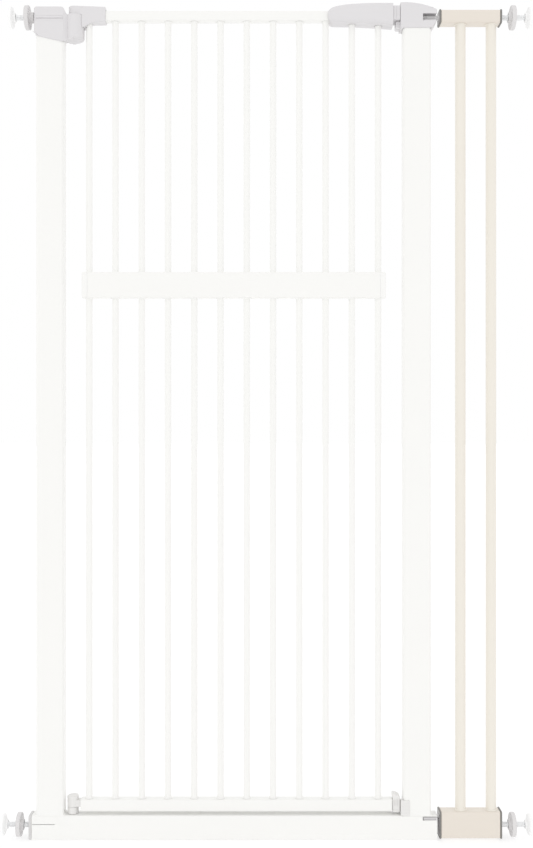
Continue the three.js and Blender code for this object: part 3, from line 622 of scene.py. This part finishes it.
def make_bars():
    mid_low, mid_high = corners_of("door_mid_rail")
    flare = [(0.0, 1.7), (0.35, 1.15), (0.9, 0.55), (1.8, 0.12), (2.6, 0.0)]
    for node in door_bars():
        low, high = corners_of(node)
        radius = high.y
        profile = [(low.z + rise, radius + wide) for rise, wide in flare]
        for z, way in ((mid_low.z, -1), (mid_high.z, 1)):
            profile += sorted((z + way * rise, radius + wide * 0.8) for rise, wide in flare)
        profile += [(high.z - rise, radius + wide) for rise, wide in reversed(flare)]
        body = turned("Z", middle_of(node).x, 0, profile, 36)
        add(f"{node}_rod", "door", body, POWDER_WHITE, [node])


def rail_section(low, high, radius):
    return rectangle(low.y, high.y, low.z, high.z, radius, 8)


def bar_hole(node, low_z, high_z, gap=PLAY):
    """Space for a round bar between two heights."""
    radius = corners_of(node)[1].y + gap
    return turned("Z", middle_of(node).x, 0, [(low_z, radius), (high_z, radius)], 36)


def make_rails():
    for node in ("door_top_rail", "door_bottom_rail"):
        low, high = corners_of(node)
        body = tube("X", rail_section(low, high, RAIL_CORNER), TUBE_WALL, low.x, high.x)
        add(f"{node}_tube", "door", body, POWDER_WHITE, [node])
    low, high = corners_of("door_mid_rail")
    holes = [bar_hole(bar, low.z - 5, high.z + 5) for bar in door_bars()]
    body = tube("X", rail_section(low, high, RAIL_CORNER), TUBE_WALL, low.x, high.x, 0.25)
    add("door_mid_rail_tube", "door", cut(body, *holes), POWDER_WHITE, ["door_mid_rail"])


def make_mid_rail_cap(node, bar, side):
    """A hollow cap pushed on one end of the mid rail, with the outermost bar running through it."""
    low, high = corners_of(node)
    inner, outer = (low.x, high.x) if side > 0 else (high.x, low.x)
    section = rail_section(low, high, 4.2)
    cover = prism("X", section, low.x, high.x, 1.5, 5)
    square_end = prism("X", section, *sorted((inner - side * 0.2, inner + side * 4)), 0.1, 1)
    ends = sorted((inner - side, outer - side * SHELL_WALL))
    hollow = block(*ends, low.y + 2, high.y - 2, low.z + 2, high.z - 2)
    body = cut(join(cover, square_end), hollow, bar_hole(bar, low.z - 5, high.z + 5))
    add(f"{node}_moulding", "door", body, WHITE_PLASTIC, [node])


def make_hinge_shroud():
    low, high = corners_of("hinge_shroud")
    hinge_x = middle_of("upper_hinge_pin").x
    half = high.y
    tail_bottom = ARM_TOP - 12.5
    knuckle = prism("Z", stadium(half, hinge_x, high.x, 28), ARM_TOP + PLAY, high.z, 0.6, 6, 1.6)
    top_fall = 0.04
    for v in knuckle.verts:
        if v.co.z > high.z - 2:
            v.co.z -= (v.co.x - low.x) * top_fall
    side = outline([
        (hinge_x + 12, high.z - 4, 0), (high.x, high.z - 2.6, 3), (high.x, tail_bottom, 3),
        (hinge_x + 32, tail_bottom, 5), (hinge_x + 18, low.z, 2.5), (hinge_x + 12, low.z, 0)])
    tail = prism("Y", side, low.y, half, 1.6)
    arm_radius = PLAY - corners_of("hinge_housing_front")[0].y
    arm_space = turned("Z", hinge_x, 0, [(UNDER, arm_radius), (ARM_TOP + PLAY, arm_radius)], 64)
    rail_low, rail_high = corners_of("door_top_rail")
    socket = block(rail_low.x - FIT, high.x + 9, rail_low.y - FIT, rail_high.y + FIT, rail_low.z - FIT,
                   rail_high.z + FIT)
    bar = bar_hole(door_bars()[0], UNDER, rail_low.z + 1)
    pin_top = corners_of("upper_hinge_pin")[1].z + 0.5
    pin = turned("Z", hinge_x, 0, [(UNDER, HINGE_BORE), (pin_top, HINGE_BORE)], 32)
    body = cut(join(knuckle, tail), arm_space, socket, bar, pin)
    add("hinge_shroud_moulding", "door", body, PALE_GREY, ["hinge_shroud"])


def make_bottom_sleeve():
    low, high = corners_of("bottom_hinge_sleeve")
    pin_x = middle_of("lower_hinge_pin").x
    radius = 9.8
    x = low.x + radius + 0.5
    rail_low, rail_high = corners_of("door_bottom_rail")
    barrel = turned("Z", x, 0, [
        (low.z, radius - 0.3), (low.z + 0.3, radius), (high.z - 6.4, radius), (high.z - 5.2, radius + 0.4),
        (high.z - 1.6, radius + 0.4), (high.z - 0.6, radius), (high.z, radius - 1.2)], 64)
    spigot = block(pin_x, rail_low.x + 14, rail_low.y + 2.2, rail_high.y - 2.2, low.z + 0.5,
                   rail_high.z - 2.3)
    slope = prism("Y", [Vector(p) for p in (
        (x - 30, high.z - 5.4), (x + 1, high.z), (x + 1, high.z + 9), (x - 30, high.z + 9))], -20, 20)
    split = block(x - 2.6, x - 2.0, -20, -radius + 0.6, low.z - 1, high.z - 6)
    pin_top = corners_of("lower_hinge_pin")[1].z + 0.5
    bore = turned("Z", pin_x, 0, [(low.z - 5, HINGE_BORE), (pin_top, HINGE_BORE)], 32)
    add("bottom_hinge_sleeve_moulding", "door", cut(join(barrel, spigot), slope, split, bore), LIT_PALE_GREY,
        ["bottom_hinge_sleeve"])


def make_door_foot():
    low, high = corners_of("door_foot")
    side = outline([
        (low.x + 1.2, low.z, 2), (high.x, low.z, 2), (high.x, high.z - 4.5, 2.5), (low.x + 4.5, high.z, 2),
        (low.x, high.z - 0.6, 2), (low.x + 1.2, high.z - 9, 2)])
    body = prism("Y", side, low.y, high.y, 1.1)
    ribs = [block(x, x + 1.1, y, y + 2, high.z - 21, high.z - 9)
            for x in (low.x + 3, low.x + 5.9, low.x + 8.8) for y in (low.y - 1.1, high.y - 0.9)]
    steps = [block(low.x - 2, high.x + 2, y, y + 2, low.z + 4, low.z + 5)
             for y in (low.y - 1.3, high.y - 0.7)]
    rail_low, rail_high = corners_of("door_bottom_rail")
    inside = TUBE_WALL + FIT
    spigot = block(rail_high.x - 8, low.x + 3, rail_low.y + inside + 1, rail_high.y - inside - 1,
                   rail_low.z + inside, rail_high.z - inside)
    add("door_foot_moulding", "door", join(cut(body, *ribs, *steps), spigot), LIT_PALE_GREY, ["door_foot"])


def handle_outline(low, high):
    """A soft lozenge that runs on past the blunt end by the catch."""
    crown = [(85, 0.0), (71, 0.3), (57, 1.0), (43, 1.9), (30, 3.3), (21, 4.7), (14, 6.3), (8, 8.3), (4, 10.9),
             (1.2, 14.2), (0, 18.5)]  # distance from the nose and fall from the top
    chin = Vector((low.x + 13, low.z + 4.9))
    beyond = high.x + 20
    points = [Vector((beyond, low.z)), Vector((beyond, high.z)), Vector((high.x, high.z))]
    points += [Vector((low.x + along, high.z - fall)) for along, fall in crown]
    points += curve(Vector((low.x, high.z - 22.5)), Vector((low.x, chin.y)), chin)
    points += curve(chin, Vector((low.x + 70, low.z + 4.3)), Vector((high.x, low.z)))
    kept = []
    for p in anticlockwise(points):
        if not kept or (p - kept[-1]).length > 0.05:
            kept.append(p)
    return kept


def make_handle():
    low, high = corners_of("handle_front")
    rail_low, rail_high = corners_of("door_top_rail")
    half = -low.y
    shape = handle_outline(low, high)
    outside = prism("Y", shape, low.y, half, 7.0, 9)
    blunt = block(high.x, high.x + ASIDE, -ASIDE, ASIDE, UNDER, OVER)
    hollow = common(
        prism("Y", inset(shape, SHELL_WALL), -half + SHELL_WALL, half - SHELL_WALL, 4, 3),
        block(0, high.x - SHELL_WALL, -ASIDE, ASIDE, UNDER, OVER))
    rib_x = corners_of("release_spring")[0].x - FIT
    rib = block(rib_x - 2, rib_x, -ASIDE, ASIDE, rail_high.z + 0.6, OVER)
    bars = [bar_hole(bar, UNDER, rail_low.z, 0.8) for bar in door_bars()[-3:]]
    rail_hole = block(low.x - 5, low.x + 20, rail_low.y - FIT, rail_high.y + FIT, rail_low.z - FIT,
                      rail_high.z + FIT)
    tongue_bottom = corners_of("latch_tongue")[0].z
    bar_top = corners_of("lock_bar")[1].z
    nose_hole = block(high.x - 10, high.x + 5, -SHANK_HALF - FIT, SHANK_HALF + FIT, tongue_bottom - FIT,
                      bar_top + FIT)
    button_low, button_high = corners_of("release_button")
    slot = block(button_low.x - 9, button_high.x + 1, button_low.y - PLAY, button_high.y + PLAY,
                 high.z - 9.5, OVER)
    dish_shape = rectangle(button_low.x - 14, button_high.x + 6, -9.5, 9.5, 6)
    dish = prism("Z", dish_shape, high.z - 0.8, high.z + 5)
    whole = cut(outside, blunt, cut(hollow, rib), rail_hole, nose_hole, dish, slot, *bars)
    places = [(low.x + 22, high.z - 15.5), (low.x + 62, high.z - 27.5), (high.x - 12, high.z - 29.5)]
    make_shells("handle", ("handle_front", "handle_rear"), "door", whole, places, half)


def make_latch_tongue():
    low, high = corners_of("latch_tongue")
    bar_low, bar_high = corners_of("lock_bar")
    head_x = corners_of("handle_front")[1].x + PLAY
    shank_shape = rectangle(low.x, high.x - 2, low.z, bar_low.z - PLAY, 1.4)
    shank = prism("Y", shank_shape, -SHANK_HALF, SHANK_HALF, 0.8)
    head_shape = outline([
        (head_x, low.z, 1.2), (high.x, low.z, 1.2), (high.x, high.z, 2.0), (head_x, high.z, 1.4)])
    head = prism("Y", head_shape, low.y, high.y, 0.6)
    channel = block(low.x - 5, high.x + 5, bar_low.y - FIT, bar_high.y + FIT, bar_low.z - PLAY, high.z + 5)
    relief = [block(high.x - 7, high.x - 6.3, y, y + 2, low.z - 1, high.z + 1)
              for y in (low.y - 1.5, high.y - 0.5)]
    body = cut(join(shank, head), channel, *relief)
    add("latch_tongue_block", "door", body, PALE_GREY, ["latch_tongue"])


def make_lock_bar():
    low, high = corners_of("lock_bar")
    side = outline([
        (low.x, low.z, 0.9), (high.x, low.z, 0.9), (high.x, high.z, 3.2), (low.x, high.z, 0.9)])
    add("lock_bar_strip", "release", prism("Y", side, low.y, high.y, 0.5), ZINC, ["lock_bar"])


def make_release_button():
    low, high = corners_of("release_button")
    body = block(low.x, high.x, low.y, high.y, low.z, high.z, 1.0)
    pitch = 3
    grips = [turned("Y", low.x + 5 + pitch * k, high.z + 0.75, [(low.y - 1, 1.3), (high.y + 1, 1.3)], 24)
             for k in range(7)]
    add("release_button_slide", "release", cut(body, *grips), MID_GREY, ["release_button"])


def make_spring():
    low, high = corners_of("release_spring")
    wire = 0.45
    radius = (high.z - low.z) / 2 - wire
    centre_z = (low.z + high.z) / 2
    turns, steps = 7, 24
    count = turns * steps
    rings = []
    for i in range(count + 1):
        angle = 2 * math.pi * i / steps
        x = low.x + wire + (high.x - low.x - 2 * wire) * i / count
        out = Vector((0, math.cos(angle), math.sin(angle)))
        at = Vector((x, 0, centre_z)) + out * radius
        rings.append([at + out * c.x + Vector((c.y, 0, 0)) for c in circle(wire, 10)])
    coil = add("release_spring_coil", "door", loft(rings), ZINC, ["release_spring"])
    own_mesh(coil)


# ---------------------------------------------------------------- extension panel
def extension_corner(node):
    """Corner radius of the extension's top or bottom tube."""
    return 5 if "top" in node else 4


def make_extension_tubes():
    for node in ("extension_top_tube", "extension_bottom_tube"):
        low, high = corners_of(node)
        section = rectangle(low.y, high.y, low.z, high.z, extension_corner(node), 8)
        add(f"{node}_profile", "extension", tube("X", section, TUBE_WALL, low.x, high.x), POWDER_BEIGE,
            [node])


def make_extension_bars():
    flare = [(-0.25, 1.5), (0.3, 1.6), (0.9, 1.0), (1.4, 0.3), (2.4, 0.0)]
    for node in ("extension_bar_left", "extension_bar_right"):
        low, high = corners_of(node)
        radius = high.y
        profile = [(low.z + rise, radius + wide) for rise, wide in flare]
        profile += [(high.z - rise, radius + wide) for rise, wide in reversed(flare)]
        body = turned("Z", middle_of(node).x, 0, profile, 56)
        add(f"{node}_tube", "extension", body, POWDER_CREAM, [node])


def make_extension_end(node):
    """A plug or cap in one end of an extension tube: rim, spigot and a lighter plate in its face, whose
    lighter grey is a painted highlight along the dark rim.
    """
    low, high = corners_of(node)
    top, plug = "top" in node, "plug" in node
    tube_low, tube_high = corners_of("extension_top_tube" if top else "extension_bottom_tube")
    corner = extension_corner(node)
    side = 1 if plug else -1
    face = tube_low.x - FIT if plug else tube_high.x + FIT
    outer = face - side * 2.9
    rim = rectangle(low.y, high.y, tube_low.z - 1, tube_high.z + 1, corner + 0.5, 8)
    body = prism("X", rim, *sorted((face, outer)), 0.9, 5)
    inner = inset(rectangle(tube_low.y, tube_high.y, tube_low.z, tube_high.z, corner, 8), 2.2)
    spigot = prism("X", inner, *sorted((face - side, face + side * 13)), 0.5)
    recess = prism("X", inset(rim, 2.4), *sorted((outer - side, outer + side * 0.9)))
    # The plate's lighter grey is a painted highlight, a light strip just inside the dark rim.
    highlight_plate = prism("X", inset(rim, 2.7), *sorted((outer + side * 0.2, outer + side * 0.85)), 0.2, 2)
    if plug:
        make_extension_pin(node, low.x, face)
        axis_z, hole_radius = PIN_HEIGHT[node], 4.9
        start, end = outer - 9, face + 9
    else:
        spindle = "spindle_top_right" if top else "spindle_bottom_right"
        axis_z, hole_radius = middle_of(spindle).z, SPINDLE_BORE
        start, end = face - 20, outer + 9
    hole = turned("X", 0, axis_z, [(start, hole_radius), (end, hole_radius)], 40)
    highlight_plate_hole = turned("X", 0, axis_z, [(start, hole_radius + FIT), (end, hole_radius + FIT)], 40)
    solid = cut(join(body, spigot), recess, hole)
    add(f"{node}_moulding", "extension", solid, DARK_GREY, [node])
    add(f"{node}_plate", "extension", cut(highlight_plate, highlight_plate_hole), MID_GREY)


def make_extension_pin(node, tip, face):
    """A pin with a waist near its tip that slides in the frame's slot."""
    radius = PIN_RADIUS[node]
    pin = turned("X", 0, PIN_HEIGHT[node], [
        (tip, radius - 1), (tip + 1, radius), (tip + 5, radius), (tip + 5.4, radius - 0.5),
        (tip + 6.8, radius - 0.5), (tip + 7.2, radius), (face - 6, radius), (face - 4.6, radius + 0.6),
        (face + 9, radius + 0.6)], 40)
    add(f"{node}_pin", "extension", pin, LIT_PIN_GREY)


# ---------------------------------------------------------------- wall adjusters
def thread(start, length, z, side):
    """A rod along X with a rolled thread and chamfered ends."""
    around, per_turn = 28, 10
    sharpness = 1.6
    rings = []
    count = round(length / THREAD_PITCH * per_turn)
    for i in range(count + 1):
        along = length * i / count
        fade = min(1.0, along / 1.5, (length - along) / 1.5)
        ring = []
        for k in range(around):
            angle = 2 * math.pi * k / around
            phase = along / THREAD_PITCH * 2 * math.pi - side * angle
            wave = math.tanh(sharpness * math.cos(phase)) / math.tanh(sharpness)
            groove = THREAD_DEPTH * (0.5 - 0.5 * wave)
            radius = SPINDLE - groove * fade - 0.8 * (1 - fade)
            y, rise = radius * math.cos(angle), radius * math.sin(angle)
            ring.append(Vector((start + side * along, y, z + rise)))
        rings.append(ring)
    return loft(rings)


def fluted(profile, z, side, grip_radius, flutes=24, sides=144):
    """A profile of (distance along, radius) turned round X, with flutes where it passes the grip radius."""
    rings = []
    for along, radius in profile:
        ring = []
        for k in range(sides):
            angle = 2 * math.pi * k / sides
            depth = 0.5 * max(0.0, math.cos(flutes * angle)) ** 2 if radius > grip_radius else 0.0
            r = radius - depth
            ring.append(Vector((side * along, r * math.cos(angle), z + r * math.sin(angle))))
        rings.append(ring)
    return loft(rings, cyclic=True)


def make_spindle(corner, side, z):
    low, high = corners_of(f"spindle_{corner}")
    start, end = (high.x, low.x) if side < 0 else (low.x, high.x)
    add(f"spindle_{corner}_rod", f"adjuster_{corner}", thread(start, abs(end - start), z, side), ZINC,
        [f"spindle_{corner}"])


def make_wheel_nut(corner, side, z):
    low, high = corners_of(f"wheel_nut_{corner}")
    inner, outer = sorted((abs(low.x), abs(high.x)))
    rim = outer - 8
    radius = (high.z - low.z) / 2
    hub = [(inner, SPINDLE_BORE), (inner, 8.8), (inner + 0.6, 9.6), (rim - 0.4, 9.9), (rim + 0.5, 10.8)]
    wheel = [
        (rim + 0.7, 12.4), (rim + 0.7, 17.4), (rim + 0.3, 18.6), (rim + 0.3, radius - 0.7),
        (rim + 0.9, radius), (outer - 0.9, radius), (outer - 0.3, radius - 0.7), (outer - 0.1, 18.6)]
    face = [
        (outer - 0.6, 17.8), (outer - 1.0, 16.8), (outer - 1.0, 10.8), (outer - 0.4, 9.8), (outer, 9.2),
        (outer, SPINDLE_BORE)]
    body = fluted(hub + wheel + face, z, side, radius - 3)
    add(f"wheel_nut_{corner}_hand_wheel", f"nut_{corner}", body, NUT_GREY, [f"wheel_nut_{corner}"])


def make_wall_pad(corner, side, z):
    low, high = corners_of(f"wall_pad_{corner}")
    mouth, face = sorted((abs(low.x), abs(high.x)))
    radius = (high.z - low.z) / 2
    bore, centre = SPINDLE + 0.35, 0.05
    cup = [
        (mouth, bore), (mouth, 7.6), (mouth + 0.5, 8.2), (mouth + 2.6, 9.4), (mouth + 3.9, 12.6),
        (mouth + 4.8, 15.6), (mouth + 5.6, 17.8), (mouth + 6.6, radius - 0.2), (mouth + 7.4, radius)]
    grip = [
        (face - 1.6, radius), (face - 0.6, radius - 0.5), (face, radius - 1.6), (face, 15.4),
        (face - 0.8, 14.8), (face - 0.8, 13.4), (face, 12.8), (face, 9.2), (face - 0.8, 8.6),
        (face - 0.8, 7.2), (face, 6.6), (face, centre)]
    profile = cup + grip + [(mouth + 6, centre), (mouth + 6, bore)]
    body = turned("X", 0, z, [(side * along, r) for along, r in profile], 72, cyclic=True)
    add(f"wall_pad_{corner}_cup", f"adjuster_{corner}", body, RUBBER, [f"wall_pad_{corner}"])


def make_adjuster(corner):
    side = -1 if "left" in corner else 1
    z = middle_of(f"spindle_{corner}").z
    make_spindle(corner, side, z)
    make_wheel_nut(corner, side, z)
    make_wall_pad(corner, side, z)


# ---------------------------------------------------------------- camera, light and floor
def make_camera():
    data = bpy.data.cameras.new("camera")
    data.lens = 46.86
    data.sensor_width = 36
    camera = bpy.data.objects.new("camera", data)
    camera.location = (0, -1.995, 0.747)
    camera.rotation_euler = (math.pi / 2, 0, 0)
    bpy.context.scene.collection.objects.link(camera)
    bpy.context.scene.camera = camera


def make_light():
    world = bpy.data.worlds.new("studio")
    bpy.context.scene.world = world
    world.use_nodes = True
    sky = world.node_tree.nodes["Background"]
    sky.inputs["Color"].default_value = (1, 1, 1, 1)
    sky.inputs["Strength"].default_value = 1.0
    data = bpy.data.lights.new("key", "SUN")
    data.energy = 0.14
    data.angle = math.radians(60)
    light = bpy.data.objects.new("key", data)
    light.rotation_euler = [math.radians(a) for a in (50, 0, -24)]
    bpy.context.scene.collection.objects.link(light)
    bpy.context.scene.view_settings.view_transform = "Standard"


def make_floor():
    """A grey floor that glows evenly, so that it stays near white and shadows on it stay soft."""
    floor_surface = surface("floor", (0.4, 0.4, 0.4), roughness=0.8, variation=0.05, mottle=0.002,
                            peel=(40, 0.02), grain=(300, 0.02))
    shader = floor_surface.node_tree.nodes["Principled BSDF"]
    shader.inputs["Emission Color"].default_value = (1, 1, 1, 1)
    shader.inputs["Emission Strength"].default_value = 0.62
    size = 40
    solid = bmesh.new()
    corners = [(-size, -size), (size, -size), (size, size), (-size, size)]
    solid.faces.new([solid.verts.new((x, y, cad_low.z - 0.0003)) for x, y in corners])
    mesh = bpy.data.meshes.new("floor")
    solid.to_mesh(mesh)
    solid.free()
    mesh.materials.append(floor_surface)
    floor = bpy.data.objects.new("floor", mesh)
    bpy.context.scene.collection.objects.link(floor)


make_camera()
make_light()
make_floor()
for upright in ("left_upright", "right_upright"):
    make_upright(upright)
make_bottom_rail()
make_bottom_rail_socket()
make_bottom_rail_cap()
make_hinge_housing()
make_catch()
make_bottom_hinge_socket()
make_latch_bracket()
make_pins()
make_bars()
make_rails()
make_mid_rail_cap("door_mid_rail_cap_left", door_bars()[0], -1)
make_mid_rail_cap("door_mid_rail_cap_right", door_bars()[-1], 1)
make_hinge_shroud()
make_bottom_sleeve()
make_door_foot()
make_handle()
make_latch_tongue()
make_lock_bar()
make_release_button()
make_spring()
make_extension_tubes()
make_extension_bars()
for tube_end in ("extension_plug_top", "extension_plug_bottom", "extension_cap_top", "extension_cap_bottom"):
    make_extension_end(tube_end)
for gate_corner in ("top_left", "bottom_left", "top_right", "bottom_right"):
    make_adjuster(gate_corner)
